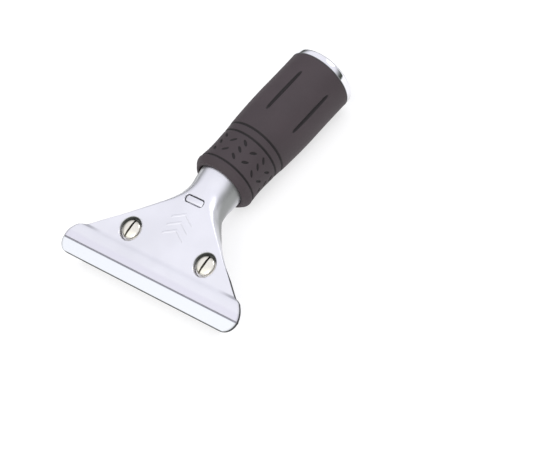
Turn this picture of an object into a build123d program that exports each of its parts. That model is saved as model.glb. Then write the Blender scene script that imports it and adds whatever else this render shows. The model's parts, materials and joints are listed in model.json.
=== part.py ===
from build123d import *
from math import cos, radians, sin, tan
import os

# Hand tool with a wide clamp head, a hollow tapered handle and a moulded rubber grip.
# Frame: +X across the head, +Y along the handle towards its open rear end, +Z up.
# The origin is on the surface that the tool rests on, under its middle. It rests on the
# grip's belly and on the lower jaw's front edge. All sizes are in millimetres.

# Driving dimensions
sheet = 1.2  # thickness of the pressed head
plate_tilt = 19.1  # slope of the fan plate against the handle
plate_front = (0, -69.4, 6.97)  # where the plate's top plane reaches the front edge
axis_height = 16.7  # handle axis above the rest surface

# Upper jaw, measured on the plate: distance back from the front edge, height of the top face
lip_height = 0.5
crease_back = 6.5
crease_half = 0.4
crease_depth = 0.45
crease_height = 0.65
bend_back = 10.4
bend_height = 1.0
step_back = 14.2
step_height = 0.9
fold_back = 15.8
fold_tuck = 0.06  # the jaw's rear edge lies this far inside the fan's sheet
jaw_rear = 16.9
jaw_half = 54.6
corner_radius = 6.2
jaw_bow_half = 53.6  # half width halfway between the corner and the shoulder
jaw_bow_back = 10.8
jaw_shoulder_half = 50.6
jaw_shoulder_back = 14.4
jaw_root_half = 46.7
trim_reach = 12.0  # cutting outlines reach this far over and under the plate

# Screws and their dimples
screw_spacing = 46.6
screw_back = 23.0
screw_radius = 2.5
head_radius = 4.75
head_height = 3.0
head_crown = 0.45
crown_radius = 3.45
drive_slot_width = 1.2
drive_slot_depth = 1.3
drive_slot_turn = -6.0
screw_length = 10.0
screw_tip_chamfer = 0.4
seat_gap = 0.05  # running gap under the screw heads
dimple_radius = 6.1
dimple_floor_radius = 5.5
dimple_depth = 2.4
screw_hole_radius = 2.75
nut_radius = 8.0 / 2 / cos(radians(30))
nut_height = 3.6
nut_hole_radius = 2.56

# Locating slot and tab
slot_back = 47.2
slot_length = 11.2
slot_width = 4.0
slot_corner = 1.7
tab_gap = 0.5
tab_top = -0.35

# Lower jaw
clamp_sheet = 1.9
clamp_inset = 0.5
clamp_end_inset = 5.6  # the lower jaw is shorter than the upper one at both ends
clamp_lip_top = -2.2
clamp_plate_top = -4.95
clamp_ramp = (7.6, 10.4)
clamp_ramp_under = (7.0, 9.6)
clamp_flange_bottom = -7.5
clamp_hole_radius = 2.85
clamp_screw_land = (5.0, 3.0)  # sheet kept beside and behind each screw
tongue_root = (10.6, 34.0)
tongue_neck_back = 39.0
tongue_half = 4.6
tongue_rear = slot_back + slot_width / 2 - tab_gap

# Handle tube, along the handle axis
neck_end = -6.0
neck_end_radius = 11.9
tube_wall = 1.0
tube_rear = 67.5
socket_radius = 13.35
socket_depth = 20.0
tube_rear_radius = socket_radius + tube_wall

# Grip and end ring
grip_front = -9.7
grip_mouth_radius = 12.15
collar_face_radius = 13.0
collar_bend = (-8.6, 15.0)
collar_top = (-6.1, 15.75)
grip_rear = 64.5
waist_radius = 15.13
belly_radius = 16.69
grip_rear_radius = 16.6
ring_radius = 16.4
ring_rear = 68.5
ring_round = 0.9
ring_grooves = ((-4.4, 15.75), (12.4, 15.55), (16.8, 15.85))
ring_groove_radius = 0.5
waist_run = ((-4.4, 15.6), (4.0, waist_radius), (12.4, 15.42))
belly_run = ((16.8, 15.8), (27.4, 16.4), (40.0, belly_radius), (53.0, 16.6))
flute_count = 6
flute_first = 8.7
flute_centre = 41.8
flute_length = 27.5
flute_width = 1.0
flute_depth = 0.8
dash_columns = 16
dash_length = 3.5
dash_width = 1.15
dash_depth = 0.45
dash_slant = 50.0
dash_clear = 0.5  # the dash and flute cutters start this far outside the grip
dash_rows_two = (1.3, 7.3)
dash_rows_three = (0.1, 4.6, 8.7)

tilt = radians(plate_tilt)
plate = Plane(origin=plate_front, x_dir=(1, 0, 0), z_dir=(0, -sin(tilt), cos(tilt)))
plate_side = Plane(origin=plate_front, x_dir=(0, cos(tilt), sin(tilt)), z_dir=(1, 0, 0))
handle_axis = Axis((0, 0, axis_height), (0, 1, 0))


def plate_height(y):
    """Height of the plate's top plane at a distance y along the handle."""
    return plate_front[2] + (y - plate_front[1]) * tan(tilt)


def screw_plane(side, height):
    """Plane square to a screw, at a height over the plate. side is -1 left, 1 right."""
    flat = plate.offset(height)
    centre = flat.from_local_coords((side * screw_spacing / 2, screw_back, 0))
    return Plane(origin=centre, x_dir=plate.x_dir, z_dir=plate.z_dir)


def jaw_end(inset, end_inset):
    """Right end of a jaw's outline on the plate: front edge, corner arc, end arc."""
    half = jaw_half - end_inset
    front = Line((0, inset), (half - corner_radius, inset))
    corner = RadiusArc(front @ 1, (half, inset + corner_radius), -corner_radius)
    bow = (jaw_bow_half - end_inset, jaw_bow_back)
    shoulder = (jaw_shoulder_half - end_inset, jaw_shoulder_back)
    return [front, corner, ThreePointArc(corner @ 1, bow, shoulder)]


def turned_point(point):
    """A (place, radius) pair as a point of the upper half section."""
    return (point[0], axis_height + point[1])


# Stations of the head from the fan to the round neck:
# place along the handle, half width, underside below the handle axis, corner radius
stations = (
    (-54.6, 46.9, None, 0.5),
    (-48.0, 38.3, None, 0.7),
    (-42.5, 30.9, None, 1.0),
    (-37.0, 24.5, None, 1.9),
    (-32.0, 19.2, 5.0, 3.2),
    (-27.0, 14.6, 7.6, 5.4),
    (-22.0, 11.8, 9.9, 7.9),
    (-17.0, 10.9, 11.4, 9.6),
    (-12.5, 11.4, 11.85, 10.7),
    (-9.0, 11.8, 11.9, 11.45),
    (neck_end, neck_end_radius, neck_end_radius, neck_end_radius - 0.02),
)
fan_depths = (1.5, 1.8, 2.4, 4.4)
open_until = 7  # the head is open underneath up to this station
open_drop = 6.0
least_corner = 0.3
corner_share = 0.499  # a corner radius stays under half of its side


def station_section(index, shrink, drop):
    """Plane, width, height and corner radius of one rounded section.

    shrink moves the wall inwards, and drop lowers the underside instead."""
    y, half_width, below_axis, corner = stations[index]
    top = plate_height(y)
    if index == len(stations) - 1:
        top = axis_height + neck_end_radius
    if below_axis is None:
        bottom = top - fan_depths[index]
    else:
        bottom = axis_height - below_axis
    top -= shrink
    bottom += -drop if drop else shrink
    width = 2 * (half_width - shrink)
    height = top - bottom
    radius = min(max(corner - shrink, least_corner), corner_share * width, corner_share * height)
    middle = (0, y, (top + bottom) / 2)
    return Plane(origin=middle, x_dir=(-1, 0, 0), z_dir=(0, 1, 0)), width, height, radius


# Head shell: one pressing, from the upper jaw to the round neck
with BuildPart() as neck_solid:
    for index in range(len(stations)):
        section, width, height, radius = station_section(index, 0, 0)
        with BuildSketch(section):
            RectangleRounded(width, height, radius)
    loft(ruled=True)

with BuildPart() as fan_hollow:
    for index in range(open_until):
        section, width, height, radius = station_section(index, sheet, open_drop)
        with BuildSketch(section):
            RectangleRounded(width, height, radius)
    loft(ruled=True)

with BuildPart() as neck_hollow:
    for index in range(open_until - 1, len(stations)):
        section, width, height, radius = station_section(index, sheet, 0)
        with BuildSketch(section):
            RectangleRounded(width, height, radius)
    loft(ruled=True)

with BuildPart() as head_shell:
    with BuildSketch(plate_side):
        with BuildLine():
            top_face = (
                (0, lip_height),
                (crease_back - crease_half, crease_height),
                (crease_back, crease_height - crease_depth),
                (crease_back + crease_half, crease_height),
                (bend_back, bend_height),
                (step_back, step_height),
                (fold_back, 0),
                (fold_back + fold_tuck, -fold_tuck),
                (jaw_rear, -fold_tuck),
            )
            under_face = [(back, height - sheet) for back, height in reversed(top_face[:-1])]
            under_face.insert(0, (jaw_rear, 2 * fold_tuck - sheet))
            Polyline(*top_face, *under_face, close=True)
        make_face()
    extrude(amount=jaw_half, both=True)
    with BuildSketch(plate.offset(-trim_reach)):
        with BuildLine():
            end = jaw_end(0, 0)
            add(end)
            Polyline(end[-1] @ 1, (jaw_root_half, jaw_rear), (0, jaw_rear))
            mirror(about=Plane.YZ)
        make_face()
    extrude(amount=2 * trim_reach, mode=Mode.INTERSECT)
    add(neck_solid.part)
    add(fan_hollow.part, mode=Mode.SUBTRACT)
    add(neck_hollow.part, mode=Mode.SUBTRACT)
    for side in (-1, 1):
        with BuildSketch(screw_plane(side, -dimple_depth - sheet)):
            Circle(dimple_floor_radius + sheet)
        with BuildSketch(screw_plane(side, -sheet / 2)):
            Circle(dimple_radius + sheet)
        loft()
        with BuildSketch(screw_plane(side, -dimple_depth)):
            Circle(dimple_floor_radius)
        with BuildSketch(screw_plane(side, dimple_depth)):
            Circle(2 * dimple_radius - dimple_floor_radius)
        loft(mode=Mode.SUBTRACT)
        with BuildSketch(screw_plane(side, 0)):
            Circle(screw_hole_radius)
        extrude(amount=-dimple_depth - 2 * sheet, mode=Mode.SUBTRACT)
    with BuildSketch(plate):
        with Locations((0, slot_back)):
            RectangleRounded(slot_length, slot_width, slot_corner)
    extrude(amount=2 * sheet, both=True, mode=Mode.SUBTRACT)
head_shell.part.label = "head_shell"

# Clamp plate: the lower jaw, with a tongue whose end turns up into the locating slot
with BuildPart() as clamp_plate:
    with BuildSketch(plate_side):
        with BuildLine():
            Polyline(
                (clamp_inset, clamp_lip_top),
                (clamp_ramp[0], clamp_lip_top),
                (clamp_ramp[1], clamp_plate_top),
                (tongue_rear, clamp_plate_top),
                (tongue_rear, clamp_plate_top - clamp_sheet),
                (clamp_ramp_under[1], clamp_plate_top - clamp_sheet),
                (clamp_ramp_under[0], clamp_lip_top - clamp_sheet),
                (clamp_inset + clamp_sheet, clamp_lip_top - clamp_sheet),
                (clamp_inset + clamp_sheet, clamp_flange_bottom),
                (clamp_inset, clamp_flange_bottom),
                close=True,
            )
        make_face()
    extrude(amount=jaw_half, both=True)
    with BuildSketch(plate.offset(-trim_reach)):
        with BuildLine():
            end = jaw_end(clamp_inset, clamp_end_inset)
            add(end)
            Polyline(
                end[-1] @ 1,
                (jaw_root_half - clamp_end_inset, fold_back),
                (screw_spacing / 2 + clamp_screw_land[0], screw_back + clamp_screw_land[1]),
                tongue_root,
                (tongue_half, tongue_neck_back),
                (tongue_half, tongue_rear),
                (0, tongue_rear),
            )
            mirror(about=Plane.YZ)
        make_face()
    extrude(amount=trim_reach, mode=Mode.INTERSECT)
    with BuildSketch(plate.offset(clamp_plate_top)):
        with Locations((0, slot_back)):
            RectangleRounded(
                slot_length - 2 * tab_gap, slot_width - 2 * tab_gap, slot_corner - tab_gap
            )
    extrude(amount=tab_top - clamp_plate_top)
    for side in (-1, 1):
        with BuildSketch(screw_plane(side, clamp_plate_top + clamp_sheet)):
            Circle(clamp_hole_radius)
        extrude(amount=-3 * clamp_sheet, mode=Mode.SUBTRACT)
clamp_plate.part.label = "clamp_plate"

# Clamp screws: slotted, slightly crowned heads that stand in the dimples
seat = seat_gap - dimple_depth
screws = {}
for name, side in (("left_clamp_screw", -1), ("right_clamp_screw", 1)):
    with BuildPart() as screw:
        with BuildSketch(screw_plane(side, seat)):
            Circle(head_radius)
        extrude(amount=head_height - head_crown)
        with BuildSketch(screw_plane(side, seat + head_height - head_crown)):
            Circle(head_radius)
        with BuildSketch(screw_plane(side, seat + head_height)):
            Circle(crown_radius)
        loft()
        with BuildSketch(screw_plane(side, seat)):
            Circle(screw_radius)
        extrude(amount=-screw_length)
        tip = screw.faces().sort_by(Axis(plate_front, plate.z_dir))[0]
        chamfer(tip.edges(), screw_tip_chamfer)
        with BuildSketch(screw_plane(side, seat + head_height)):
            Rectangle(drive_slot_width, 3 * head_radius, rotation=drive_slot_turn)
        extrude(amount=-drive_slot_depth, mode=Mode.SUBTRACT)
    screw.part.label = name
    screws[name] = screw.part

# Clamp nuts, fixed under the clamp plate
nuts = {}
for name, side in (("left_clamp_nut", -1), ("right_clamp_nut", 1)):
    with BuildPart() as nut:
        with BuildSketch(screw_plane(side, clamp_plate_top - clamp_sheet)):
            RegularPolygon(nut_radius, 6)
            Circle(nut_hole_radius, mode=Mode.SUBTRACT)
        extrude(amount=-nut_height)
    nut.part.label = name
    nuts[name] = nut.part

# Handle tube: tapered, with a straight socket at its rear end
with BuildPart() as handle_tube:
    with BuildSketch(Plane.YZ):
        with BuildLine():
            Polyline(
                (neck_end, axis_height + neck_end_radius - tube_wall),
                (neck_end, axis_height + neck_end_radius),
                (ring_rear - socket_depth, axis_height + tube_rear_radius),
                (tube_rear, axis_height + tube_rear_radius),
                (tube_rear, axis_height + socket_radius),
                (ring_rear - socket_depth, axis_height + socket_radius),
                close=True,
            )
        make_face()
    revolve(axis=handle_axis)
handle_tube.part.label = "handle_tube"

# Grip sleeve: rubber, with a rounded collar, a patterned waist and a fluted belly
with BuildPart() as grip_sleeve:
    with BuildSketch(Plane.YZ):
        with BuildLine():
            collar_start = turned_point((grip_front, collar_face_radius))
            collar_end = turned_point(collar_top)
            waist = [turned_point(point) for point in waist_run]
            belly = [turned_point(point) for point in belly_run]
            belly_end = turned_point((grip_rear, grip_rear_radius))
            ThreePointArc(collar_start, turned_point(collar_bend), collar_end)
            Line(collar_end, waist[0])
            ThreePointArc(*waist)
            Line(waist[-1], belly[0])
            Spline(*belly, belly_end)
            Polyline(
                belly_end,
                (grip_rear, axis_height + tube_rear_radius),
                (ring_rear - socket_depth, axis_height + tube_rear_radius),
                (neck_end, axis_height + neck_end_radius),
                (neck_end, axis_height + grip_mouth_radius),
                (grip_front, axis_height + grip_mouth_radius),
                collar_start,
            )
        make_face()
    revolve(axis=handle_axis)
    with BuildSketch(Plane.YZ):
        for y, radius in ring_grooves:
            with Locations((y, axis_height + radius)):
                Circle(ring_groove_radius)
    revolve(axis=handle_axis, mode=Mode.SUBTRACT)
    for flute in range(flute_count):
        angle = radians(flute_first + flute * 360 / flute_count)
        out = Vector(sin(angle), 0, cos(angle))
        centre = Vector(0, flute_centre, axis_height) + out * (belly_radius + dash_clear)
        with BuildSketch(Plane(origin=centre, x_dir=(0, 1, 0), z_dir=out)):
            Ellipse(flute_length / 2, flute_width / 2)
        extrude(amount=-flute_depth - dash_clear, mode=Mode.SUBTRACT)
    for column in range(dash_columns):
        angle = radians(column * 360 / dash_columns)
        out = Vector(sin(angle), 0, cos(angle))
        rows = dash_rows_three if column % 2 else dash_rows_two
        slant = -dash_slant if column % 2 else dash_slant
        for y in rows:
            centre = Vector(0, y, axis_height) + out * (waist_radius + dash_clear)
            with BuildSketch(Plane(origin=centre, x_dir=(0, 1, 0), z_dir=out)):
                SlotOverall(dash_length, dash_width, rotation=slant)
            extrude(amount=-dash_depth - dash_clear, mode=Mode.SUBTRACT)
grip_sleeve.part.label = "grip_sleeve"

# End ring: the polished ferrule that closes the grip's rear end
with BuildPart() as end_ring:
    with BuildSketch(Plane.YZ):
        with BuildLine():
            Polyline(
                (grip_rear, axis_height + tube_rear_radius),
                (grip_rear, axis_height + ring_radius),
                (ring_rear - ring_round, axis_height + ring_radius),
            )
            RadiusArc(
                (ring_rear - ring_round, axis_height + ring_radius),
                (ring_rear, axis_height + ring_radius - ring_round),
                ring_round,
            )
            Polyline(
                (ring_rear, axis_height + ring_radius - ring_round),
                (ring_rear, axis_height + socket_radius),
                (tube_rear, axis_height + socket_radius),
                (tube_rear, axis_height + tube_rear_radius),
                (grip_rear, axis_height + tube_rear_radius),
            )
        make_face()
    revolve(axis=handle_axis)
end_ring.part.label = "end_ring"

pieces = {
    "head_shell": head_shell.part,
    "clamp_plate": clamp_plate.part,
    "handle_tube": handle_tube.part,
    "grip_sleeve": grip_sleeve.part,
    "end_ring": end_ring.part,
}
pieces.update(screws)
pieces.update(nuts)
os.makedirs("parts", exist_ok=True)
for name, piece in pieces.items():
    export_step(piece, f"parts/{name}.step")
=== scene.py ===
import json
from math import ceil, cos, pi, radians, sin, sqrt
from typing import NamedTuple

import bmesh
import bpy
from bpy.props import FloatProperty, FloatVectorProperty, IntProperty, PointerProperty
from mathutils import Matrix, Vector


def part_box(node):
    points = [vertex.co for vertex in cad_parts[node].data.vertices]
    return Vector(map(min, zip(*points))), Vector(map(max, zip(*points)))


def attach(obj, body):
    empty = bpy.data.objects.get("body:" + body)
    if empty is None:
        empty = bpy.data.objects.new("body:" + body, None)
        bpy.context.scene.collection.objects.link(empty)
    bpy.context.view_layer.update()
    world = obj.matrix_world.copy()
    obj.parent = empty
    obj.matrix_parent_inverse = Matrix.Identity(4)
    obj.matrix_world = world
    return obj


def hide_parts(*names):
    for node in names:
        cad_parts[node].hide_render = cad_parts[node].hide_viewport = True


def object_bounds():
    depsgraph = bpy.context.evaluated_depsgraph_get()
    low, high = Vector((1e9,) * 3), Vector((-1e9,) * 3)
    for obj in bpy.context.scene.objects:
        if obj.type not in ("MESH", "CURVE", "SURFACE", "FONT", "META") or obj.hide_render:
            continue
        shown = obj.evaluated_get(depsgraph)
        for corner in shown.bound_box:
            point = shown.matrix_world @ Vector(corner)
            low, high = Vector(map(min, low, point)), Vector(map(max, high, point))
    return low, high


bl_info = {
    "name": "Clamp-Head Scraper Handle",
    "version": (1, 0, 0),
    "blender": (4, 5, 0),
    "location": "3D View > Sidebar > Scraper",
    "description": "Builds a pressed-steel clamp head with a rubber grip around its CAD frame",
    "category": "Add Mesh",
}

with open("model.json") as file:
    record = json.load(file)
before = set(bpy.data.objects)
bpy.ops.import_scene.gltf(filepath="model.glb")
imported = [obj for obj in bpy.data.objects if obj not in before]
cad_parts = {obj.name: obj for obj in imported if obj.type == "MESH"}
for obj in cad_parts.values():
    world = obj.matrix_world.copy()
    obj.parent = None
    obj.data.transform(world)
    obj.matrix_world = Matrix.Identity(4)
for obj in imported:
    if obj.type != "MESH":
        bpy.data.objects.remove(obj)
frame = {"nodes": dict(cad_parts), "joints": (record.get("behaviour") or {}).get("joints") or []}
cad_low, cad_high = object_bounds()
MM = 0.001

# Places taken from the frame, in millimetres
screw_joints = {j["name"]: j for j in frame["joints"]}
left_joint = screw_joints["left_screw_turn"]
plate_up = Vector(left_joint["axis"]).normalized()
plate_back = Vector((0, plate_up.z, -plate_up.y))
left_seat = Vector(left_joint["pos_m"]) / MM
right_seat = Vector(screw_joints["right_screw_turn"]["pos_m"]) / MM
SCREW_BACK = 23.0
plate_origin = (left_seat + right_seat) / 2 - plate_back * SCREW_BACK
grip_low, grip_high = (Vector(corner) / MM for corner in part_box("grip_sleeve"))
ring_low, ring_high = (Vector(corner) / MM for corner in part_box("end_ring"))
handle_height = (ring_low.z + ring_high.z) / 2

ACROSS = Vector((1, 0, 0))
ALONG = Vector((0, 1, 0))
UPWARDS = Vector((0, 0, 1))
# The side of the dimples and screw heads that gets the painted shade
SHADED_SIDE = (plate_back - ACROSS * 0.6).normalized()
NECK_RADIUS = 11.9
NECK_CROWN = handle_height + NECK_RADIUS
# Distances back from the head's front edge
FOLD_BACK = 15.8
SHOULDER_BACK = 14.4
SLOT_BACK = 47.2
HEAD_END = 67.0
# Half width of the upper jaw at its shoulder
SHOULDER_HALF = 50.6
# Radii of the openings on the handle's axis
GRIP_MOUTH = 12.15
RING_SEAT = 14.35
SOCKET_BORE = 13.35


def length(name, text, default):
    """A size property in millimetres."""
    return FloatProperty(name=name, description=text, default=default, unit="NONE")


def colour(name, text, default):
    """A linear colour property."""
    return FloatVectorProperty(
        name=name, description=text, default=default, subtype="COLOR", size=3, min=0, max=1
    )


class ScraperHeadSizes(bpy.types.PropertyGroup):
    sheet: length("Sheet", "Thickness of the pressed head in mm", 1.2)
    half_width: length("Half width", "Half of the jaw's width in mm", 54.6)
    corner: length("Corner", "Radius of the jaw's front corners in mm", 6.2)
    lip_height: length("Lip height", "Height of the front edge over the plate in mm", 0.5)
    crease: length("Crease", "Distance of the crease from the front edge in mm", 6.5)
    edge_round: length("Edge round", "Radius of the sheet's edges in mm", 0.35)
    dimple_depth: length("Dimple depth", "Depth of the screw dimples in mm", 2.4)


class ScraperGripSizes(bpy.types.PropertyGroup):
    columns: IntProperty(name="Columns", description="Mesh columns round the grip", default=336)
    groove_depth: length("Groove depth", "Depth of the ring grooves in mm", 0.55)
    flute_depth: length("Flute depth", "Depth of the long flutes in mm", 0.8)
    flute_width: length("Flute width", "Width of a flute in mm", 1.9)
    dash_depth: length("Dash depth", "Depth of the slanted dashes in mm", 0.5)
    dash_length: length("Dash length", "Length of a slanted dash in mm", 3.9)
    dash_width: length("Dash width", "Width of a slanted dash in mm", 1.6)


class ScraperColours(bpy.types.PropertyGroup):
    steel: colour("Steel", "Satin pressed steel", (0.83, 0.83, 0.875))
    tube: colour("Tube", "Drawn steel tube", (0.55, 0.55, 0.57))
    nickel: colour("Nickel", "Screw plating", (0.88, 0.85, 0.76))
    zinc: colour("Zinc", "Nut plating", (0.60, 0.61, 0.62))
    rubber: colour("Rubber", "Moulded grip", (0.050, 0.037, 0.042))
    chrome: colour("Chrome", "Polished end ring", (0.86, 0.86, 0.90))
    floor: colour("Floor", "Studio floor", (0.42, 0.42, 0.42))


# ---------------------------------------------------------------- shader maths


class Signal:
    """A shader socket that takes part in Python arithmetic."""

    def __init__(self, owner, socket):
        self.owner = owner
        self.socket = socket

    def maths(self, operation, *values):
        return self.owner.node("ShaderNodeMath", {"operation": operation}, dict(enumerate(values)))

    def __add__(self, other):
        return self.maths("ADD", self, other)

    def __radd__(self, other):
        return self.maths("ADD", other, self)

    def __sub__(self, other):
        return self.maths("SUBTRACT", self, other)

    def __rsub__(self, other):
        return self.maths("SUBTRACT", other, self)

    def __mul__(self, other):
        return self.maths("MULTIPLY", self, other)

    def __rmul__(self, other):
        return self.maths("MULTIPLY", other, self)

    def __truediv__(self, other):
        return self.maths("DIVIDE", self, other)

    def __abs__(self):
        return self.maths("ABSOLUTE", self)

    def fraction(self):
        return self.maths("FRACT", self)

    def between(self, low, high):
        """0 below low, 1 above high, smooth in between."""
        settings = {"interpolation_type": "SMOOTHSTEP"}
        return self.owner.node("ShaderNodeMapRange", settings, {0: self, 1: low, 2: high})


class NodeTree:
    """A node tree with short ways to add nodes."""

    def __init__(self, tree):
        self.tree = tree

    def node(self, kind, settings, values, output=0):
        made = self.tree.nodes.new(kind)
        for key, setting in settings.items():
            setattr(made, key, setting)
        for key, value in values.items():
            if isinstance(value, Signal):
                self.tree.links.new(value.socket, made.inputs[key])
            else:
                made.inputs[key].default_value = value
        return Signal(self, made.outputs[output])

    def split(self, vector):
        parts = self.node("ShaderNodeSeparateXYZ", {}, {0: vector})
        outputs = parts.socket.node.outputs
        return [Signal(self, outputs[axis]) for axis in range(3)]

    def mix(self, factor, first, second):
        values = {0: factor, 6: (*first, 1) if isinstance(first, tuple) else first}
        values[7] = (*second, 1) if isinstance(second, tuple) else second
        return self.node("ShaderNodeMix", {"data_type": "RGBA"}, values, 2)


class Finish(NodeTree):
    """One material's node tree."""

    def __init__(self, name, metallic, roughness, base):
        self.material = bpy.data.materials.new(name)
        self.material.use_nodes = True
        super().__init__(self.material.node_tree)
        self.shader = self.tree.nodes["Principled BSDF"]
        self.shader.inputs["Metallic"].default_value = metallic
        self.shader.inputs["Roughness"].default_value = roughness
        self.shader.inputs["Base Color"].default_value = (*base, 1)

    def place(self):
        """Object coordinates in metres."""
        return self.node("ShaderNodeTexCoord", {}, {}, "Object")

    def stretched(self, scale):
        return self.node("ShaderNodeMapping", {}, {"Vector": self.place(), "Scale": scale})

    def noise(self, scale, detail=3.0, stretch=(1, 1, 1), rough=0.55):
        values = {"Vector": self.stretched(stretch), "Scale": scale, "Detail": detail, "Roughness": rough}
        return self.node("ShaderNodeTexNoise", {}, values)

    def attribute(self, name):
        return self.node("ShaderNodeAttribute", {"attribute_name": name}, {}, "Fac")

    def feed(self, name, signal):
        self.tree.links.new(signal.socket, self.shader.inputs[name])

    def bump(self, height, distance, strength=1.0):
        values = {"Height": height, "Distance": distance, "Strength": strength}
        self.feed("Normal", self.node("ShaderNodeBump", {}, values))


def shade(tint, amount):
    """The tint made lighter or darker."""
    return tuple(channel * amount for channel in tint)


def satin_steel(colours):
    finish = Finish("satin_steel", 1.0, 0.36, colours.steel)
    tint = tuple(colours.steel)
    cloud = finish.noise(38, 2)
    grain = finish.noise(2600, 2)
    brushed = finish.noise(900, 2, (0.12, 1, 1))
    scratch = finish.noise(420, 1, (1, 0.05, 0.05), 0.7).between(0.66, 0.74)
    across, along, high = finish.split(finish.place())
    along = along - plate_origin.y * MM
    high = high - plate_origin.z * MM
    back = along * plate_back.y + high * plate_back.z
    over = high * plate_up.z + along * plate_up.y
    top_side = over.between(-0.0008, -0.0003)
    crease_line, fold_line = 0.0065, 0.0156
    # Painted highlight: the lip in front of the crease is made whiter.
    lip_highlight = (1 - back.between(crease_line - 0.0007, crease_line - 0.0001)) * top_side
    # Painted shade: a dark line along the crease.
    crease = (1 - abs(back - crease_line).between(0.0002, 0.0006)) * top_side
    # Painted shade: the band behind the crease is made darker lavender.
    band_shade = back.between(crease_line - 0.0001, crease_line + 0.0003) * top_side
    band_shade = band_shade * (1 - back.between(0.0092, 0.0112))
    # Painted shade: a dark line along the fold near the jaw's ends.
    fold_shade = (1 - abs(back - fold_line).between(0.0002, 0.001)) * abs(across).between(0.036, 0.046)
    fold_shade = fold_shade * top_side
    satin = finish.mix(cloud.between(0.3, 0.7), shade(tint, 0.96), shade(tint, 1.04))
    satin = finish.mix(0.85 * lip_highlight, satin, (0.92, 0.95, 0.97))
    satin = finish.mix(0.9 * band_shade, satin, (0.73, 0.72, 0.80))
    satin = finish.mix(0.6 * crease + 0.6 * fold_shade, satin, (0.22, 0.22, 0.24))
    # Painted shade: the sides of the fan and the neck and the dimples' rear are made dark and less
    # metallic.
    flank_shade = finish.attribute("flank_shade")
    satin = finish.mix(flank_shade, satin, (0.13, 0.14, 0.12))
    # Painted shade: a near-black, rough, barely metallic strip along the sheet's edges.
    edge_shade = finish.attribute("edge_shade")
    finish.feed("Base Color", finish.mix(0.95 * edge_shade, satin, (0.018, 0.019, 0.018)))
    finish.feed("Metallic", (1 - 0.95 * edge_shade) * (1 - 0.5 * flank_shade))
    rough = 0.30 + 0.06 * cloud + 0.05 * grain - 0.06 * scratch
    finish.feed("Roughness", rough + 0.6 * edge_shade + 0.1 * flank_shade)
    chevron_spacing = 0.0042
    stripe_place = back + 0.55 * abs(across)
    stripe = abs((stripe_place / chevron_spacing).fraction() - 0.5)
    panel = (1 - abs(across).between(0.0062, 0.0068)) * stripe_place.between(0.0292, 0.0296)
    panel = panel * (1 - stripe_place.between(0.0418, 0.0422)) * top_side
    chevron = (1 - stripe.between(0.08, 0.17)) * panel
    texture = 0.0000022 * grain + 0.000002 * brushed - 0.000006 * scratch
    finish.bump(texture + 0.00012 * chevron, 1.0, 0.8)
    return finish.material


def tube_steel(colours):
    finish = Finish("tube_steel", 1.0, 0.35, colours.tube)
    drawn = finish.noise(1100, 3, (1, 0.03, 1))
    stain = finish.noise(60, 4)
    tint = tuple(colours.tube)
    finish.feed("Base Color", finish.mix(stain.between(0.35, 0.75), shade(tint, 0.8), tint))
    finish.feed("Roughness", 0.28 + 0.16 * drawn + 0.08 * stain)
    finish.bump(0.000012 * drawn, 1.0, 0.7)
    return finish.material


def screw_nickel(colours):
    finish = Finish("screw_nickel", 1.0, 0.2, colours.nickel)
    lathed = finish.noise(1500, 2)
    handled = finish.noise(300, 4)
    tint = tuple(colours.nickel)
    plated = finish.mix(handled.between(0.4, 0.8), tint, shade(tint, 0.94))
    # Painted shade: the slot and the head's rear rim are made near-black.
    finish.feed("Base Color", finish.mix(finish.attribute("slot_shade"), plated, (0.02, 0.018, 0.012)))
    finish.feed("Roughness", 0.15 + 0.08 * handled)
    finish.bump(0.0000015 * lathed + 0.000002 * handled, 1.0, 0.6)
    return finish.material


def nut_zinc(colours):
    finish = Finish("nut_zinc", 1.0, 0.42, colours.zinc)
    spangle = finish.node("ShaderNodeTexVoronoi", {}, {"Vector": finish.place(), "Scale": 900})
    dull = finish.noise(500, 3)
    tint = tuple(colours.zinc)
    finish.feed("Base Color", finish.mix(spangle.between(0.1, 0.7), tint, shade(tint, 0.8)))
    finish.feed("Roughness", 0.34 + 0.2 * dull)
    finish.bump(0.000006 * dull, 1.0, 0.6)
    return finish.material


def grip_rubber(colours):
    finish = Finish("grip_rubber", 0.0, 0.62, colours.rubber)
    tint = tuple(colours.rubber)
    groove = finish.attribute("groove")
    skin = finish.noise(1500, 3)
    bloom = finish.noise(45, 3)
    dusty = finish.mix(bloom.between(0.3, 0.75), shade(tint, 0.94), shade(tint, 1.12))
    # Painted shade: the grooves, flutes and dashes are darkened by their carved depth.
    finish.feed("Base Color", finish.mix(groove.between(0.1, 0.6), dusty, shade(tint, 0.2)))
    finish.feed("Roughness", 0.56 + 0.12 * skin + 0.1 * bloom)
    finish.shader.inputs["Specular IOR Level"].default_value = 0.42
    finish.bump(0.00002 * skin, 1.0, 0.8)
    return finish.material


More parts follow.
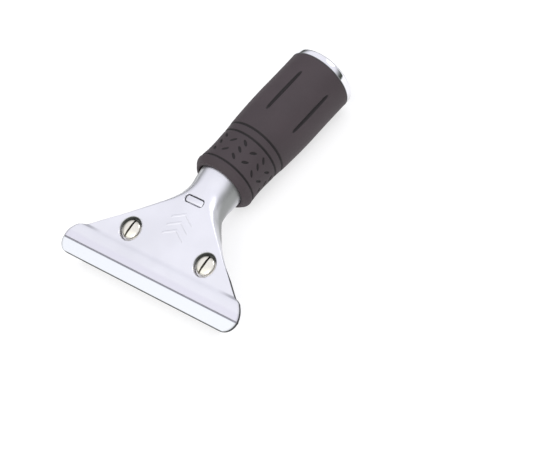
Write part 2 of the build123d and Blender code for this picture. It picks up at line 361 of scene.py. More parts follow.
def ring_chrome(colours):
    finish = Finish("ring_chrome", 1.0, 0.1, colours.chrome)
    smear = finish.noise(120, 3)
    hairline = finish.noise(1500, 2, (1, 0.1, 1)).between(0.55, 0.8)
    tint = tuple(colours.chrome)
    across, along, high = finish.split(finish.place())
    bright = finish.mix(smear.between(0.4, 0.8), tint, shade(tint, 0.93))
    rise = high - handle_height * MM
    # Painted reflection: the ring's lower side is made darker grey-brown.
    low = 1 - rise.between(-0.013, -0.001)
    bright = finish.mix(0.6 * low, bright, (0.30, 0.27, 0.25))
    radius = (across * across + rise * rise).maths("SQRT")
    front, rear = ring_low.y * MM, ring_high.y * MM
    # Painted shade: near-black, dull rims at the ring's front and rear edges.
    rear_rim = along.between(rear - 0.0007, rear - 0.0004) * radius.between(0.0154, 0.0157)
    rim_shade = rear_rim + 1 - along.between(front + 0.0002, front + 0.0005)
    finish.feed("Base Color", finish.mix(0.9 * rim_shade, bright, (0.03, 0.03, 0.03)))
    finish.feed("Metallic", 1 - 0.95 * rim_shade)
    finish.feed("Roughness", 0.07 + 0.07 * smear + 0.04 * hairline + 0.6 * rim_shade)
    finish.bump(0.0000015 * hairline, 1.0, 0.5)
    return finish.material


def studio_floor(colours):
    finish = Finish("studio_floor", 0.0, 0.8, colours.floor)
    finish.shader.inputs["Emission Color"].default_value = (1, 1, 1, 1)
    finish.shader.inputs["Emission Strength"].default_value = 0.66
    mottle = finish.noise(6, 2)
    tint = tuple(colours.floor)
    finish.feed("Base Color", finish.mix(mottle, shade(tint, 0.995), tint))
    finish.shader.inputs["Specular IOR Level"].default_value = 0.1
    return finish.material


FINISHES = {}


def finish_of(slot):
    """The material of a record slot, made once."""
    if slot not in FINISHES:
        makers = (satin_steel, tube_steel, screw_nickel, nut_zinc, grip_rubber, ring_chrome)
        maker = {made.__name__: made for made in makers}[slot]
        FINISHES[slot] = maker(bpy.context.scene.scraper_colours)
    return FINISHES[slot]


# ---------------------------------------------------------------- mesh helpers


def ease(low, high, value):
    """0 below low, 1 above high, smooth in between."""
    share = min(max((value - low) / (high - low), 0), 1)
    return share * share * (3 - 2 * share)


def blend(first, second, share):
    return first + (second - first) * share


def follow(points, place):
    """Value at a place on a smooth line through (place, value) points, without overshoot."""
    if place <= points[0][0]:
        return points[0][1]
    if place >= points[-1][0]:
        return points[-1][1]
    slopes = [(b[1] - a[1]) / (b[0] - a[0]) for a, b in zip(points, points[1:])]
    index = max(i for i in range(len(slopes)) if points[i][0] <= place)

    def tangent(knot):
        if knot in (0, len(slopes)):
            return slopes[min(knot, len(slopes) - 1)]
        before, after = slopes[knot - 1], slopes[knot]
        return 0 if before * after <= 0 else 2 * before * after / (before + after)

    start, end = points[index], points[index + 1]
    span = end[0] - start[0]
    t = (place - start[0]) / span
    return (
        (1 + 2 * t) * (1 - t) ** 2 * start[1]
        + t * (1 - t) ** 2 * span * tangent(index)
        + t * t * (3 - 2 * t) * end[1]
        - t * t * (1 - t) * span * tangent(index + 1)
    )


def straight(points, place):
    """Value at a place on straight runs through (place, value) points."""
    for (a, low), (b, high) in zip(points, points[1:]):
        if place <= b:
            return blend(low, high, min(max((place - a) / (b - a), 0), 1))
    return points[-1][1]


def softened(points, place, reach):
    """Like straight, with each bend rounded over a reach to both sides."""
    steps = range(-3, 4)
    return sum(straight(points, place + reach * step / 3) for step in steps) / len(steps)


def new_object(name, vertices, faces):
    """A mesh object from millimetre points, with its faces turned outwards."""
    mesh = bpy.data.meshes.new(name)
    mesh.from_pydata([Vector(point) * MM for point in vertices], [], faces)
    shape = bmesh.new()
    shape.from_mesh(mesh)
    bmesh.ops.remove_doubles(shape, verts=shape.verts, dist=0.000002)
    bmesh.ops.recalc_face_normals(shape, faces=shape.faces)
    shape.to_mesh(mesh)
    shape.free()
    piece = bpy.data.objects.new(name, mesh)
    bpy.context.scene.collection.objects.link(piece)
    return piece


def grid_faces(rows, columns, wrap_rows=False, wrap_columns=False, start=0):
    faces = []
    for row in range(rows if wrap_rows else rows - 1):
        for column in range(columns if wrap_columns else columns - 1):
            a = start + row * columns + column
            b = start + row * columns + (column + 1) % columns
            c = start + (row + 1) % rows * columns + (column + 1) % columns
            d = start + (row + 1) % rows * columns + column
            faces.append((a, b, c, d))
    return faces


def turned(name, profile, segments, centre, axis, across, radius_at=None):
    """Revolves a closed (radius, height) profile about an axis. Radius 0 closes on the axis."""
    side = axis.cross(across)
    vertices = []
    for row, (radius, height) in enumerate(profile):
        for segment in range(segments):
            turn = 2 * pi * segment / segments
            out = radius if radius_at is None else radius_at(row, radius, height, turn)
            spoke = across * cos(turn) + side * sin(turn)
            vertices.append(centre + axis * height + spoke * out)
    closed = profile[0][0] > 0
    faces = grid_faces(len(profile), segments, closed, True)
    return new_object(name, vertices, faces)


def prism(name, outlines, centre, across, back, up):
    """Stacked closed outlines [(height, [(x, y), ...]), ...] with flat ends."""
    count = len(outlines[0][1])
    vertices = []
    for height, points in outlines:
        for x, y in points:
            vertices.append(centre + across * x + back * y + up * height)
    faces = grid_faces(len(outlines), count, False, True)
    faces.append(tuple(range(count)))
    faces.append(tuple(range(len(vertices) - count, len(vertices))))
    return new_object(name, vertices, faces)


def rounded_box(half_long, half_wide, corner, steps=6):
    """Outline of a rectangle with round corners."""
    points = []
    for quarter, (sx, sy) in enumerate(((1, 1), (-1, 1), (-1, -1), (1, -1))):
        for step in range(steps + 1):
            turn = pi / 2 * (quarter + step / steps)
            x = sx * (half_long - corner) + corner * cos(turn)
            points.append((x, sy * (half_wide - corner) + corner * sin(turn)))
    return points


def combine(piece, other, operation):
    """Joins or cuts piece with other, which is used up."""
    modifier = piece.modifiers.new("combine", "BOOLEAN")
    modifier.operation = operation
    modifier.solver = "EXACT"
    modifier.object = other
    graph = bpy.context.evaluated_depsgraph_get()
    made = bpy.data.meshes.new_from_object(piece.evaluated_get(graph))
    piece.modifiers.remove(modifier)
    piece.data = made
    bpy.data.objects.remove(other)


def dress(piece, slot, body, nodes, smooth_angle=35):
    """Smooth shading, the material made for a slot, ride and the CAD nodes that the piece stands for."""
    piece.data.shade_smooth()
    piece.data.set_sharp_from_angle(angle=radians(smooth_angle))
    piece.data.materials.clear()
    piece.data.materials.append(finish_of(slot))
    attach(piece, body)
    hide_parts(*nodes)


class Spot(NamedTuple):
    """A vertex: its place, the same place on the plate in mm, and its normal."""

    place: Vector
    x: float
    back: float
    height: float
    normal: Vector


def mark(piece, name, value_at):
    """Stores a value at each vertex, worked out from its spot."""
    values = piece.data.attributes.new(name, "FLOAT", "POINT")
    for index, vertex in enumerate(piece.data.vertices):
        place = vertex.co / MM
        offset = place - plate_origin
        spot = Spot(place, offset.x, offset.dot(plate_back), offset.dot(plate_up), vertex.normal)
        values.data[index].value = value_at(spot)


def radius_about(reach):
    """Distance of a reach from the plate's normal."""
    return (reach - plate_up * reach.dot(plate_up)).length


def on_plate(x, back, height):
    """The point at a place on the plate."""
    return plate_origin + ACROSS * x + plate_back * back + plate_up * height


# ---------------------------------------------------------------- pressed head

SEAM_HALF = 0.06
UNDERSIDE_INSET = 0.12
DIMPLE_RADIUS = 6.3
# Distance back from the front edge with: half width, wall depth, corner radius
FAN_HALF = (
    (SHOULDER_BACK, SHOULDER_HALF), (15.3, 48.7), (15.9, 46.8), (16.8, 45.5), (22.6, 38.3),
    (28.5, 30.9), (34.3, 24.5), (39.6, 19.2), (44.9, 14.7), (50.2, 11.9), (55.4, 10.9),
    (60.2, 11.4), (HEAD_END, NECK_RADIUS),
)
WALL_DEPTH = (
    (SHOULDER_BACK, 1.1), (16.5, 1.5), (28.5, 2.2), (34.3, 4.2), (39.6, 8.2), (44.9, 12.6),
    (50.2, 16.6), (55.4, 19.8), (60.2, 21.8), (HEAD_END, 2 * NECK_RADIUS),
)
WALL_CORNER = (
    (SHOULDER_BACK, 0.35), (16.5, 0.5), (28.5, 1.0), (34.3, 1.9), (39.6, 3.3), (44.9, 5.5),
    (50.2, 8.0), (55.4, 9.7), (60.2, 10.8), (HEAD_END, NECK_RADIUS - 0.05),
)
TOP_COLUMNS, CORNER_COLUMNS, WALL_COLUMNS = 54, 6, 30


def head_half(back, sizes):
    """Half width of the head at a distance back."""
    if back < SHOULDER_BACK:
        return jaw_half(max(back, 0), sizes.half_width, sizes.corner, SHOULDER_HALF)
    return follow(FAN_HALF, back)


def jaw_half(back, half, corner, shoulder_half):
    """Half width of a jaw at a distance back, up to its shoulder."""
    if back < corner:
        return half - corner + sqrt(max(corner**2 - (corner - back) ** 2, 0))
    share = (back - corner) / (SHOULDER_BACK - corner)
    return half - (half - shoulder_half) * share**2.2


def half_path(half, top, depth, corner, low_corner, reach):
    """Half of a section: top, upper corner, wall, lower corner, floor in to a reach.

    Returns the lengths up to the corner, to the wall and in all, and a function of the length."""
    flat = half - corner
    turn = corner * pi / 2
    wall = max(depth - top - corner - low_corner, 0)
    low_turn = low_corner * pi / 2
    floor = reach * max(half - low_corner - SEAM_HALF, 0)

    def at(distance):
        if distance <= flat:
            return distance, top
        distance -= flat
        if distance <= turn:
            angle = distance / corner
            return flat + corner * sin(angle), top + corner * (1 - cos(angle))
        distance -= turn
        if distance <= wall:
            return half, top + corner + distance
        distance -= wall
        if distance <= low_turn:
            angle = distance / low_corner
            low = top + corner + wall
            return half - low_corner * (1 - cos(angle)), low + low_corner * sin(angle)
        distance -= low_turn
        return half - low_corner - distance, top + corner + wall + low_corner

    return flat, flat + turn, flat + turn + wall + low_turn + floor, at


def half_section(half, top, depth, corner, low_corner, reach, spread):
    """Points (x, depth) of half a section. spread evens out the columns on a round neck."""
    flat, wall_start, total, at = half_path(half, top, depth, corner, low_corner, reach)
    first = blend(flat, 0.40 * total, spread)
    second = blend(wall_start, 0.55 * total, spread)
    points = [at(first * column / TOP_COLUMNS) for column in range(TOP_COLUMNS)]
    for column in range(CORNER_COLUMNS):
        points.append(at(blend(first, second, column / CORNER_COLUMNS)))
    for column in range(WALL_COLUMNS + 1):
        points.append(at(blend(second, total, column / WALL_COLUMNS)))
    return points


def sheet_piece(name, rows, layers_at):
    """A closed sheet from rows. layers_at(row) gives two lists of 3D points, over and under."""
    over, under = [], []
    for row in rows:
        upper, lower = layers_at(row)
        over.append(upper)
        under.append(lower)
    count, columns = len(rows), len(over[0])
    vertices = [point for line in over + under for point in line]
    shift = count * columns
    faces = grid_faces(count, columns) + grid_faces(count, columns, start=shift)
    for row in range(count - 1):
        for column in (0, columns - 1):
            a, b = row * columns + column, (row + 1) * columns + column
            faces.append((a, b, b + shift, a + shift))
    for row in (0, count - 1):
        for column in range(columns - 1):
            a = row * columns + column
            faces.append((a, a + 1, a + 1 + shift, a + shift))
    return new_object(name, vertices, faces)


def flat_underside(half, depth, count):
    """Points of half a flat underside, with the last columns close together at its edge."""
    last = count - 1 - TOP_COLUMNS
    points = []
    for index in range(count):
        share = min(index / TOP_COLUMNS, 1) * 0.97 + 0.03 * max(index - TOP_COLUMNS, 0) / last
        points.append((half * share, depth))
    return points


def both_halves(points, centre, down):
    """Mirrors half a section and places it under its centre point."""
    right = [centre + ACROSS * x + down * depth for x, depth in points]
    left = [centre - ACROSS * x + down * depth for x, depth in points[:0:-1]]
    return left + right


def spaced(start, end, step):
    count = max(ceil((end - start) / step), 1)
    return [start + (end - start) * index / count for index in range(count)]


class SCRAPER_OT_head(bpy.types.Operator):
    """Adds the pressed head: upper jaw, fan plate with dimples and slot, and the round neck"""

    bl_idname = "scraper.head"
    bl_label = "Pressed Head"

    def execute(self, context):
        sizes = context.scene.scraper_head
        crease = sizes.crease
        top_line = (
            (0, sizes.lip_height), (crease - 0.4, 0.65), (crease, 0.2), (crease + 0.4, 0.65),
            (10.4, 1.0), (14.2, 0.9), (FOLD_BACK, 0), (HEAD_END, 0),
        )

        def top_height(back):
            height = softened(top_line, back, 0.12 + 0.7 * ease(8, 9.5, back))
            rim = max(sizes.edge_round - back, 0)
            return height - sizes.edge_round + sqrt(sizes.edge_round**2 - rim**2)

        def layers(back):
            half = head_half(back, sizes)
            depth = follow(WALL_DEPTH, back)
            corner = min(follow(WALL_CORNER, back), 0.98 * half)
            closing = ease(39, 50, back)
            low_corner = max(corner * closing, 0.02)
            reach = ease(42, 52, back)
            spread = ease(33, 50, back)
            centre = on_plate(0, back, top_height(back))
            over = centre.z - NECK_CROWN
            centre.z = (centre.z + NECK_CROWN - sqrt(over**2 + 1)) / 2 + 0.22 * ease(40, HEAD_END, back)
            down = (-plate_up).lerp(-UPWARDS, ease(16, 42, back)).normalized()
            outer = half_section(half, 0, depth, corner, low_corner, reach, spread)
            wall = sizes.sheet
            inner_corner = max(corner - wall, 0.25)
            inner_low = max(low_corner - wall, 0.02)
            inner_depth = max(depth - wall * reach, wall + inner_corner + inner_low + 0.02)
            inner = half_section(half - wall, wall, inner_depth, inner_corner, inner_low, reach, spread)
            walled = ease(SHOULDER_BACK, 17, back)
            if walled < 1:
                bare = flat_underside(half - UNDERSIDE_INSET, wall, len(inner))
                pairs = zip(bare, inner)
                inner = [(blend(a[0], b[0], walled), blend(a[1], b[1], walled)) for a, b in pairs]
            return both_halves(outer, centre, down), both_halves(inner, centre, down)

        # Rows are closest at the front edge, the crease and the step
        rows = spaced(0, 0.4, 0.08) + spaced(0.4, 2, 0.3) + spaced(2, crease - 0.7, 0.6)
        rows += spaced(crease - 0.7, crease + 0.7, 0.1) + spaced(crease + 0.7, 9.6, 0.6)
        rows += spaced(9.6, 11.4, 0.2) + spaced(11.4, 14.4, 0.5) + spaced(14.4, 17.4, 0.2)
        rows += spaced(17.4, HEAD_END, 0.8) + [HEAD_END]
        head = sheet_piece("pressed_head", rows, layers)
        floor = -sizes.dimple_depth
        boss = [(0, -0.6), (7.1, -0.6), (6.95, -1.7), (6.75, floor - 0.8), (6.3, floor - 1.2)]
        boss += [(0, floor - 1.2)]
        pocket = [(0, 1.5), (7.1, 1.5), (6.4, 0.1), (6.2, 0.0), (6.02, -0.09), (5.9, -0.22)]
        pocket += [(5.82, -0.4), (5.6, floor + 0.45), (5.5, floor + 0.16), (5.25, floor), (0, floor)]
        screw_hole = 2.75
        hole = ((0, 1), (screw_hole, 1), (screw_hole, -6), (0, -6))
        for seat in (left_seat, right_seat):
            for profile, operation in ((boss, "UNION"), (pocket, "DIFFERENCE"), (hole, "DIFFERENCE")):
                tool = turned("head_tool", profile, 96, seat, plate_up, ACROSS)
                combine(head, tool, operation)
        outlines = []
        for height, grow in ((1.0, 0.75), (0.02, 0.26), (-0.1, 0.1), (-0.3, 0), (-3, 0)):
            outlines.append((height, rounded_box(5.6 + grow, 2.0 + grow, 1.7 + grow)))
        slot = prism("head_tool", outlines, on_plate(0, SLOT_BACK, 0), ACROSS, plate_back, plate_up)
        combine(head, slot, "DIFFERENCE")

        def edge_shade(spot):
            """Painted shade along the sheet's edge: a dark strip on its rim on top and on its side."""
            gap = head_half(spot.back, sizes) - abs(spot.x)
            if gap > 0.6 and spot.back > 0.6:
                return 0
            below = top_height(max(spot.back, 0)) - spot.height
            strip = 1 - ease(0.12, 0.5, min(gap, spot.back)) if below < 0.6 else 0
            side = ease(0.1, 0.35, below) if gap < UNDERSIDE_INSET or spot.back < 0.06 else 0
            return max(strip, side) * (1 - ease(26, 40, spot.back))

        def flank_shade(spot):
            """Painted shade on the sides of the fan and the neck, and painted shadow in the rear of the
            dimples.
            """
            back = spot.back
            for seat in (left_seat, right_seat):
                reach = spot.place - seat
                radius = radius_about(reach)
                if radius < DIMPLE_RADIUS:
                    rear = reach.dot(SHADED_SIDE) / max(radius, 1)
                    return 0.9 * ease(-0.1, 0.8, rear) * (1 - ease(6.0, DIMPLE_RADIUS, radius))
            below = min(on_plate(0, back, 0).z, NECK_CROWN) - spot.place.z
            low = 0.75 * ease(1.5, 6, below) * (1 - ease(9, 17, below)) * ease(30, 38, back)
            wall = 0.8 * ease(0.5, 0.95, abs(spot.normal.x)) * ease(16, 28, back) * (1 - ease(42, 52, back))
            left = 0.85 * ease(0.38, 0.74, -spot.normal.x) * ease(22, 36, back)
            return max(low, wall, left)

        mark(head, "edge_shade", edge_shade)
        mark(head, "flank_shade", flank_shade)
        dress(head, "satin_steel", "handle", ["head_shell"])
        return {"FINISHED"}


class SCRAPER_OT_lower_jaw(bpy.types.Operator):
    """Adds the clamp plate with its locating tab, and the two nuts under it"""

    bl_idname = "scraper.lower_jaw"
    bl_label = "Lower Jaw"

    def execute(self, context):
        sizes = context.scene.scraper_head
        front, rear = 0.5, 48.7
        thick, round_edge = 1.9, 0.4
        end_inset = 5.6
        half_width, shoulder = sizes.half_width - end_inset, SHOULDER_HALF - end_inset
        lip_top, plate_top = -2.2, -4.95
        height_line = ((front, lip_top), (7.4, lip_top), (10.2, plate_top), (rear, plate_top))
        outline = ((SHOULDER_BACK, shoulder), (15.8, 41.0), (26, 28.3), (34, 10.6))
        outline += ((38, 5.0), (41, 4.6), (rear, 4.6))

        def layers(back):
            if back < SHOULDER_BACK:
                half = jaw_half(back - front, half_width, sizes.corner, shoulder)
            else:
                half = straight(outline, back)
            rim = max(round_edge - min(back - front, rear - back), 0)
            soft = round_edge - sqrt(max(round_edge**2 - rim**2, 0))
            centre = on_plate(0, back, softened(height_line, back, 0.8) - soft)
            path = half_section(half, 0, thick - soft - round_edge * 0.5, round_edge, 0.02, 0, 0)
            under = flat_underside(half - 0.2, thick - soft, len(path))
            return both_halves(path, centre, -plate_up), both_halves(under, centre, -plate_up)

        rows = [front + offset for offset in (0, 0.04, 0.12, 0.24, 0.4, 0.8, 1.4)]
        rows += spaced(2.5, 7.8, 0.9) + spaced(7.8, 12.4, 0.4) + spaced(12.4, 17, 0.6)
        rows += spaced(17, rear - 0.4, 1.2) + [rear - offset for offset in (0.4, 0.24, 0.12, 0.04, 0)]
        jaw = sheet_piece("lower_jaw_plate", rows, layers)
        flange = []
        flange_inset = 0.05
        for height, inset in ((-3.1, 0), (-7.0, 0), (-7.3, 0.08), (-7.5, 0.35)):
            front_line, rear_line = front + 0.03 + inset, front + thick - inset
            rear_half = jaw_half(rear_line - front, half_width, sizes.corner, shoulder) - flange_inset
            middle = blend(front_line, rear_line, 0.4)
            middle_half = jaw_half(middle - front, half_width, sizes.corner, shoulder) - flange_inset
            front_half = jaw_half(0.02, half_width, sizes.corner, shoulder) - flange_inset
            points = [(-front_half, front_line), (front_half, front_line), (middle_half, middle)]
            points += [(rear_half, rear_line), (-rear_half, rear_line), (-middle_half, middle)]
            flange.append((height, points))
        flange_piece = prism("jaw_flange", flange, plate_origin, ACROSS, plate_back, plate_up)
        combine(jaw, flange_piece, "UNION")
        outlines = []
        for height, grow in ((-6.2, 0), (-0.7, 0), (-0.5, -0.06), (-0.4, -0.16), (-0.35, -0.32)):
            outlines.append((height, rounded_box(5.1 + grow, 1.5 + grow, 1.2 + grow)))
        tab = prism("jaw_tab", outlines, on_plate(0, SLOT_BACK, 0), ACROSS, plate_back, plate_up)
        combine(jaw, tab, "UNION")
        screw_hole = 2.85
        hole = ((0, -2), (screw_hole, -2), (screw_hole, -9), (0, -9))
        for seat in (left_seat, right_seat):
            combine(jaw, turned("jaw_tool", hole, 64, seat, plate_up, ACROSS), "DIFFERENCE")

        def edge_shade(spot):
            """Painted shade on the front face of the flange."""
            return (1 - ease(0.1, 0.4, spot.back - front)) * ease(0.5, 1.2, lip_top - spot.height)

        mark(jaw, "edge_shade", edge_shade)
        dress(jaw, "satin_steel", "lower_jaw", ["clamp_plate"])
        self.add_nut("left_hex_nut", left_seat, "left_clamp_nut")
        self.add_nut("right_hex_nut", right_seat, "right_clamp_nut")
        return {"FINISHED"}

    def add_nut(self, name, seat, node):
        """A hexagon nut with both faces chamfered and a countersunk bore."""
        across_flats, tall, bore, top = 8.0, 3.6, 2.56, -6.85
        profile = [(bore, -0.5), (bore + 0.45, 0), (3.8, 0), (4.05, -0.08), (4.35, -0.22)]
        profile += [(4.75, -0.46), (4.75, -0.9)]
        profile += [(radius, -tall - height) for radius, height in reversed(profile)]

        def hexagon(row, radius, height, turn):
            facet = (turn + pi / 6) % (pi / 3) - pi / 6
            return min(radius, across_flats / 2 / cos(facet)) if radius > 3.5 else radius

        nut = turned(name, profile, 96, seat + plate_up * top, plate_up, plate_back, hexagon)
        dress(nut, "nut_zinc", "lower_jaw", [node], 25)


class SCRAPER_OT_screws(bpy.types.Operator):
    """Adds the two slotted clamp screws with threaded shanks"""

    bl_idname = "scraper.screws"
    bl_label = "Clamp Screws"

    def execute(self, context):
        self.add_screw("left_slotted_screw", left_seat, "left_screw", "left_clamp_screw")
        self.add_screw("right_slotted_screw", right_seat, "right_screw", "right_clamp_screw")
        return {"FINISHED"}

    def add_screw(self, name, seat, body, node):
        depth = bpy.context.scene.scraper_head.dimple_depth
        pitch, shank, cut = 0.8, 2.5, 0.42
        long_end = -10.0
        profile = [(0, 3.0), (1.0, 2.98), (2.0, 2.9), (3.0, 2.76), (3.8, 2.56), (4.3, 2.34), (4.6, 2.08)]
        # The head's side and underside, then the plain neck of the shank
        profile += [(4.73, 1.8), (4.75, 1.5), (4.75, 0.4), (4.68, 0.15), (4.5, 0.0)]
        profile += [(shank, 0.0), (shank, -0.6)]
        thread_start = len(profile)
        step = 0.1
        count = int((-0.7 - long_end - 0.5) / step)
        profile += [(shank, -0.7 - step * index) for index in range(count)]
        thread_end = len(profile)
        run_rows = 6
        profile += [(2.05, long_end + 0.1), (1.7, long_end), (0, long_end)]

        def thread(row, radius, height, turn):
            if not thread_start <= row < thread_end:
                return radius
            ramp = (height / pitch - turn / (2 * pi)) % 1
            run_in = min(1, (row - thread_start) / run_rows)
            taper = max(0, 1 - (thread_end - row) / run_rows)
            return radius - cut * run_in * (1 - abs(2 * ramp - 1)) - 0.4 * taper * taper

        head_gap = 0.05
        base = seat + plate_up * (head_gap - depth)
        screw = turned(name, profile, 72, base, plate_up, ACROSS, thread)
        turn = radians(-6)
        along = plate_back * cos(turn) - ACROSS * sin(turn)
        side = along.cross(plate_up)
        outlines = []
        for height, half in ((3.4, 0.85), (3.0, 0.65), (2.86, 0.54), (2.7, 0.5), (1.7, 0.5)):
            outlines.append((height, [(-half, -7), (half, -7), (half, 7), (-half, 7)]))
        combine(screw, prism("slot_tool", outlines, base, side, along, plate_up), "DIFFERENCE")
        crown = profile[0][1] + head_gap - depth

        def slot_shade(spot):
            """Painted shade in the slot, most at its rear end, and a painted shadow at the head's rear rim.
            """
            reach = spot.place - base
            inside = 1 - ease(0.5, 0.58, abs(reach.dot(side)))
            below = crown - spot.height
            deep = inside * ease(0.15, 0.7, below) if below < 1.4 else 0
            radius = radius_about(reach)
            rim = ease(3.2, 4.7, radius) * ease(0.1, 0.8, reach.dot(SHADED_SIDE) / max(radius, 1))
            return max(deep * (0.5 + 0.5 * ease(0, 3.5, reach.dot(along))), 0.85 * rim)

        mark(screw, "slot_shade", slot_shade)
        dress(screw, "screw_nickel", body, [node], 30)


# ---------------------------------------------------------------- handle

# Grip radius at distances along the handle
GRIP_LINE = (
    (-5.4, 15.75), (-2.5, 15.4), (0.4, 15.2), (4.5, 15.13), (9, 15.28), (14.6, 15.5), (18, 15.9),
    (21, 16.1), (27.4, 16.4), (33.7, 16.62), (40, 16.69), (47, 16.62), (56, 16.58), (64.5, 16.62),
)
RING_GROOVES = (-4.4, 12.4, 16.8)
FLUTE_COUNT = 6
FLUTE_TURN = radians(8.7)
FLUTE_MIDDLE, FLUTE_HALF = 41.8, 13.9
DASH_COLUMNS = 16
DASH_ROWS = ((1.3, 7.3), (0.1, 4.6, 8.7))
DASH_SLANT = radians(50)


def grip_hollow(along, turn, radius, sizes):
    """Depth cut into the grip at a place along it and a turn from the top."""
    hollow = 0
    for groove in RING_GROOVES:
        gap = abs(along - groove)
        if gap < 0.8:
            hollow = max(hollow, sizes.groove_depth * (1 - ease(0.2, 0.75, gap)))
    if abs(along - FLUTE_MIDDLE) < FLUTE_HALF:
        share = (along - FLUTE_MIDDLE) / FLUTE_HALF
        sector = 2 * pi / FLUTE_COUNT
        offset = ((turn - FLUTE_TURN + sector / 2) % sector - sector / 2) * radius
        width = sizes.flute_width / 2 * (0.45 + 0.55 * sqrt(1 - share * share))
        keep = 1 - ease(0.80, 1.0, abs(share))
        hollow = max(hollow, sizes.flute_depth * keep * (1 - ease(0.3 * width, 1.25 * width, abs(offset))))
    if -3 < along < 11.2:
        sector = 2 * pi / DASH_COLUMNS
        column = round(turn / sector)
        offset = (turn - column * sector) * radius
        three = column % 2
        slant = -DASH_SLANT if three else DASH_SLANT
        for row in DASH_ROWS[three]:
            length_wise = (along - row) * cos(slant) + offset * sin(slant)
            width_wise = offset * cos(slant) - (along - row) * sin(slant)
            share = abs(length_wise) / (sizes.dash_length / 2)
            if share < 1:
                half = sizes.dash_width / 2 * (1 - share * share) ** 0.6
                keep = (1 - ease(0.35, 1.1, abs(width_wise) / half)) * (1 - ease(0.7, 1.0, share))
                hollow = max(hollow, sizes.dash_depth * keep)
    return hollow


class SCRAPER_OT_grip(bpy.types.Operator):
    """Adds the moulded rubber grip with its grooves, slanted dashes and flutes"""

    bl_idname = "scraper.grip"
    bl_label = "Rubber Grip"

    def execute(self, context):
        sizes = context.scene.scraper_grip
        front, rear = grip_low.y + 0.7, grip_high.y
        mouth = GRIP_MOUTH
        profile = [(mouth, front + 2.6), (mouth, front + 0.5), (mouth + 0.18, front + 0.12)]
        profile += [(mouth + 0.6, front)]
        profile += [(13.1, front), (13.5, front + 0.06), (13.8, front + 0.24), (14.05, front + 0.5)]
        profile += [(14.6, front + 1.18), (15.1, front + 1.8), (15.4, front + 2.2), (15.6, front + 2.65)]
        profile += [(15.7, front + 3.1), (15.74, front + 3.5)]
        body_rows = spaced(-5.35, 18, 0.26) + spaced(18, rear - 0.4, 0.6)
        profile += [(follow(GRIP_LINE, along), along) for along in body_rows]
        edge = follow(GRIP_LINE, rear)
        profile += [(edge - 0.02, rear - 0.3), (edge - 0.12, rear - 0.1), (edge - 0.35, rear)]
        profile += [(14.4, rear), (14.4, rear - 6)]
        profile += [(14.4, 48.5), (13.6, 35), (mouth, 0)]
        spokes = {}

        def carved(row, radius, height, turn):
            hollow = 0 if radius < 13.5 or height > rear - 1 else grip_hollow(height, turn, radius, sizes)
            spokes.setdefault(row, []).append(hollow)
            return radius - hollow

        centre = Vector((0, 0, handle_height))
        grip = turned("rubber_grip", profile, sizes.columns, centre, ALONG, UPWARDS, carved)
        # The carved depth, kept for the rubber's painted shade in the hollows.
        groove = grip.data.attributes.new("groove", "FLOAT", "POINT")
        for index, vertex in enumerate(grip.data.vertices):
            groove.data[index].value = min(spokes[index // sizes.columns][index % sizes.columns] / 0.5, 1)
        dress(grip, "grip_rubber", "handle", ["grip_sleeve"], 60)
        return {"FINISHED"}


class SCRAPER_OT_ring(bpy.types.Operator):
    """Adds the polished end ring and finishes the handle tube inside it"""

    bl_idname = "scraper.ring"
    bl_label = "End Ring"

    def execute(self, context):
        front, rear = ring_low.y, ring_high.y
        outer, bore = (ring_high.x - ring_low.x) / 2 + 0.3, SOCKET_BORE
        profile = [(RING_SEAT, front), (outer - 0.25, front), (outer - 0.06, front + 0.08)]
        profile += [(outer, front + 0.3)]
        rim = 1.5
        for step in range(13):
            turn = pi * step / 12
            reach = (outer - bore) / 2
            profile.append((bore + reach + reach * cos(turn), rear - rim + rim * sin(turn)))
        profile += [(bore, rear - 1.6), (RING_SEAT, rear - 1.6)]
        centre = Vector((0, 0, handle_height))
        ring = turned("polished_ring", profile, 192, centre, ALONG, UPWARDS)
        dress(ring, "ring_chrome", "handle", ["end_ring"], 40)
        tube = frame["nodes"]["handle_tube"]
        tube.data.materials.clear()
        tube.data.materials.append(finish_of("tube_steel"))
        return {"FINISHED"}


# ---------------------------------------------------------------- stage

CAMERA_AZIMUTH, CAMERA_ELEVATION, CAMERA_ROLL = 55.44, 46.15, -21.22
CAMERA_DISTANCE, CAMERA_LENS = 0.973, 135.9
CAMERA_AIM = Vector((0.01874, -0.00148, -0.01562))


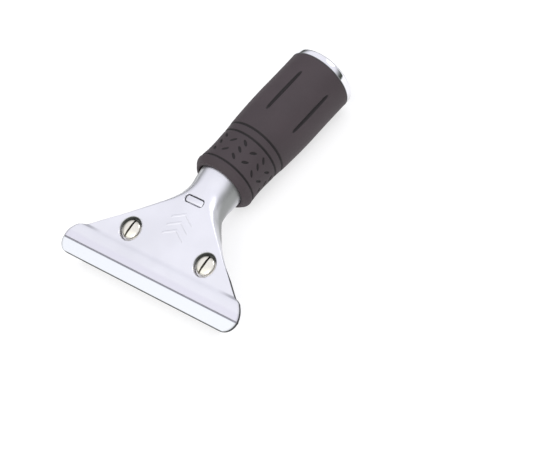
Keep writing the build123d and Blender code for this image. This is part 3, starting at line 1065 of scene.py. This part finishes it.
class SCRAPER_OT_stage(bpy.types.Operator):
    """Adds the pale floor, the soft studio lights, the surroundings and the camera"""

    bl_idname = "scraper.stage"
    bl_label = "Studio Stage"

    def execute(self, context):
        discs = ((0, 0), (1200, 0), (2200, 0))
        floor = turned("floor", discs, 64, UPWARDS * (cad_low.z / MM), UPWARDS, ACROSS)
        floor.data.materials.append(studio_floor(context.scene.scraper_colours))
        self.add_light("key_softbox", (0.3, -1.1, 0.9), 0.7, 4, (1, 0.99, 0.98))
        self.add_light("rear_softbox", (0.5, 0.9, 0.9), 0.6, 3, (0.97, 0.98, 1))
        self.add_surroundings()
        self.add_camera()
        context.scene.view_settings.view_transform = "Standard"
        return {"FINISHED"}

    def add_light(self, name, place, size, power, tint):
        data = bpy.data.lights.new(name, "AREA")
        data.shape = "DISK"
        data.size = size
        data.energy = power
        data.color = tint
        light = bpy.data.objects.new(name, data)
        light.location = place
        light.rotation_mode = "QUATERNION"
        light.rotation_quaternion = (-Vector(place)).to_track_quat("-Z", "Y")
        bpy.context.scene.collection.objects.link(light)

    def add_surroundings(self):
        world = bpy.data.worlds.new("studio")
        world.use_nodes = True
        sky = NodeTree(world.node_tree)
        across, along, high = sky.split(sky.node("ShaderNodeTexCoord", {}, {}, "Generated"))
        overhead = sky.mix((along * -1).between(0.16, 0.5), (0.97, 0.97, 1.03), (1.25, 1.25, 1.25))
        low_side = sky.mix(abs(across).between(0.3, 0.8), (0.7, 0.71, 0.73), (0.07, 0.08, 0.065))
        colour = sky.mix(high.between(0.12, 0.62), low_side, overhead)
        background = world.node_tree.nodes["Background"]
        world.node_tree.links.new(colour.socket, background.inputs["Color"])
        background.inputs["Strength"].default_value = 1.0
        bpy.context.scene.world = world

    def add_camera(self):
        data = bpy.data.cameras.new("camera")
        data.lens = CAMERA_LENS
        data.clip_start, data.clip_end = 0.05, 20
        camera = bpy.data.objects.new("camera", data)
        a, e = radians(CAMERA_AZIMUTH), radians(CAMERA_ELEVATION)
        back = Vector((sin(a) * cos(e), -cos(a) * cos(e), sin(e)))
        right = Vector((cos(a), sin(a), 0))
        right = Matrix.Rotation(radians(CAMERA_ROLL), 3, back) @ right
        up = back.cross(right)
        camera.matrix_world = Matrix((right, up, back)).transposed().to_4x4()
        camera.location = CAMERA_AIM + back * CAMERA_DISTANCE
        bpy.context.scene.collection.objects.link(camera)
        bpy.context.scene.camera = camera


class SCRAPER_PT_panel(bpy.types.Panel):
    bl_idname = "SCRAPER_PT_panel"
    bl_label = "Clamp-Head Scraper"
    bl_space_type = "VIEW_3D"
    bl_region_type = "UI"
    bl_category = "Scraper"

    def draw(self, context):
        for group in ("scraper_head", "scraper_grip", "scraper_colours"):
            settings = getattr(context.scene, group)
            for name in settings.__annotations__:
                self.layout.prop(settings, name)
        for operator in OPERATORS:
            self.layout.operator(operator.bl_idname)


OPERATORS = (
    SCRAPER_OT_head,
    SCRAPER_OT_lower_jaw,
    SCRAPER_OT_screws,
    SCRAPER_OT_grip,
    SCRAPER_OT_ring,
    SCRAPER_OT_stage,
)
GROUPS = {
    "scraper_head": ScraperHeadSizes,
    "scraper_grip": ScraperGripSizes,
    "scraper_colours": ScraperColours,
}


def register():
    for made in (*GROUPS.values(), *OPERATORS, SCRAPER_PT_panel):
        bpy.utils.register_class(made)
    for name, group in GROUPS.items():
        setattr(bpy.types.Scene, name, PointerProperty(type=group))


def unregister():
    for name in GROUPS:
        delattr(bpy.types.Scene, name)
    for made in reversed((*GROUPS.values(), *OPERATORS, SCRAPER_PT_panel)):
        bpy.utils.unregister_class(made)


def main():
    register()
    for step in ("head", "lower_jaw", "screws", "grip", "ring", "stage"):
        getattr(bpy.ops.scraper, step)()


if __name__ == "__main__":
    main()
